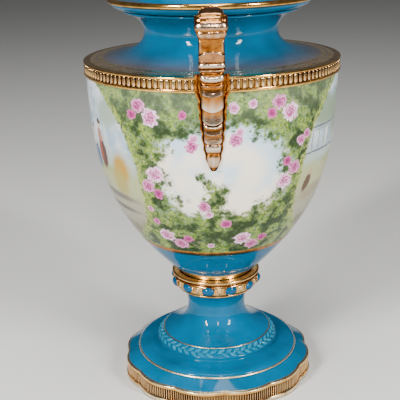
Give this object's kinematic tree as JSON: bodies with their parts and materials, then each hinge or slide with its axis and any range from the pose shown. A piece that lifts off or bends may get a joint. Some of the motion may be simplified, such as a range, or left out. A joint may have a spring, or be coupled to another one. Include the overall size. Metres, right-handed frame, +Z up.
{
  "type": "mantel urn",
  "caption": "Tall porcelain mantel urn with a painted bowl, ribbed gilt band, flared neck, two gilt scroll handles and a lobed turned pedestal.",
  "frame": {"origin": "centre of the underside, on the surface the urn stands on", "axes": "+Z up along the turned axis; the two handles are on the -Y and +Y sides, the painted side panels face -X and +X"},
  "size_m": [0.21, 0.244, 0.3335],
  "materials": {
    "painted_porcelain": "glossy glaze over enamel painting of roses and leaves, with turquoise ground on neck and foot",
    "turquoise_glaze": "glossy turquoise glaze with gilt lines",
    "burnished_gold": "burnished gilding over glazed porcelain"
  },
  "bodies": {
    "root": {"urn_body": "painted_porcelain", "pedestal": "turquoise_glaze", "handle_front": "burnished_gold", "handle_back": "burnished_gold"}
  },
  "joints": []
}
